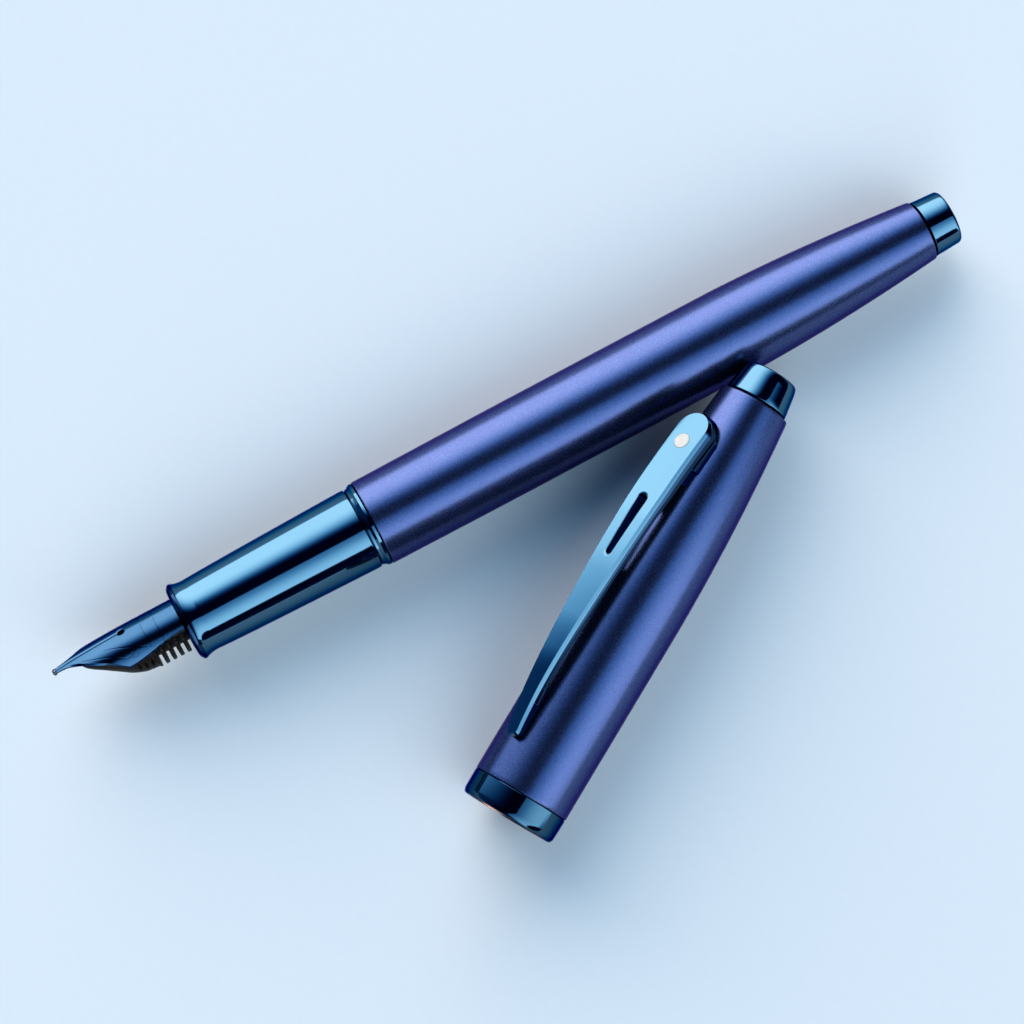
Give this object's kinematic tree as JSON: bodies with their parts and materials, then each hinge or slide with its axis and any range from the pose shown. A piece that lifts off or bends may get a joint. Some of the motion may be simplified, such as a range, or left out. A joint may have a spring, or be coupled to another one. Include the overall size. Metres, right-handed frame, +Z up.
{
  "type": "fountain pen",
  "caption": "Slim metal fountain pen lying uncapped beside its clip cap, with a pull-out writing unit, a piston converter inside and a sprung clip.",
  "frame": {"origin": "on the surface the pen and cap lie on, under the middle of their common box", "axes": "+Z up; +Y along the cap from its mouth to its finial, seen from above; the pen is level and points from its nib tip to its tail 59.6 degrees from +X towards +Y"},
  "size_m": [0.0652, 0.1042, 0.0162],
  "materials": {
    "satin_lacquer": "satin metallic violet-blue lacquer with a fine sparkle",
    "polished_blue": "mirror-polished blue plating",
    "blue_nib_steel": "polished blue-plated steel",
    "tipping_alloy": "ground smooth",
    "ebonite_black": "satin brown-black",
    "black_plastic": "moulded, half gloss",
    "brass": "machined",
    "copper": "polished copper colour",
    "steel": "machined",
    "clear_plastic": "clear",
    "black_rubber": "smooth",
    "ivory_enamel": "glossy inlay"
  },
  "bodies": {
    "barrel": {"barrel_shell": "satin_lacquer", "barrel_thread_insert": "brass", "tail_end_cap": "polished_blue", "tail_screw": "steel"},
    "writing_unit": {"section_grip": "polished_blue", "section_front_ring": "polished_blue", "section_rear_ring": "polished_blue", "section_connector": "brass", "nib_housing": "black_plastic", "nib": "blue_nib_steel", "nib_tipping": "tipping_alloy", "feed": "ebonite_black"},
    "converter": {"converter_mouth": "black_plastic", "converter_tube": "clear_plastic", "converter_sleeve": "steel", "rod_guide_bush": "black_plastic"},
    "piston": {"piston_seal": "black_rubber", "piston_rod": "steel"},
    "knob": {"converter_knob": "black_plastic", "drive_nut": "brass"},
    "cap": {"cap_shell": "satin_lacquer", "cap_band": "polished_blue", "clutch_ring": "copper", "inner_cap": "black_plastic", "cap_finial": "polished_blue", "finial_screw": "steel", "clip_foot": "polished_blue", "clip_retaining_plate": "steel"},
    "clip": {"clip": "polished_blue", "clip_dot": "ivory_enamel"}
  },
  "joints": [
    {"name": "writing_unit_slide", "type": "slide", "parent": "barrel", "child": "writing_unit", "axis": [-0.506, -0.8625, 0], "range_m": [0, 0.066]},
    {"name": "converter_pull", "type": "slide", "parent": "writing_unit", "child": "converter", "axis": [0.506, 0.8625, 0], "range_m": [0, 0.0045]},
    {"name": "knob_turn", "type": "hinge", "parent": "converter", "child": "knob", "pos_m": [0.01719, 0.02902, 0.0055], "axis": [0.506, 0.8625, 0], "range_deg": [0, 2520]},
    {"name": "piston_slide", "type": "slide", "parent": "converter", "child": "piston", "axis": [-0.506, -0.8625, 0], "range_m": [0, 0.0224]},
    {"name": "cap_swing", "type": "hinge", "parent": "barrel", "child": "cap", "pos_m": [-0.00606, -0.06557, 0.00546], "axis": [-0.0083, 0.0299, -0.9995], "range_deg": [0, 210.43]},
    {"name": "clip_spring", "type": "hinge", "parent": "cap", "child": "clip", "pos_m": [0.01811, 0.01036, 0.01347], "axis": [-0.8039, 0.0306, -0.594], "range_deg": [0, 4], "stiffness_Nm_per_rad": 1.2}
  ],
  "couplings": [
    {"joint": "knob_turn", "follows": "piston_slide", "rad_per_m": 1963.5}
  ]
}
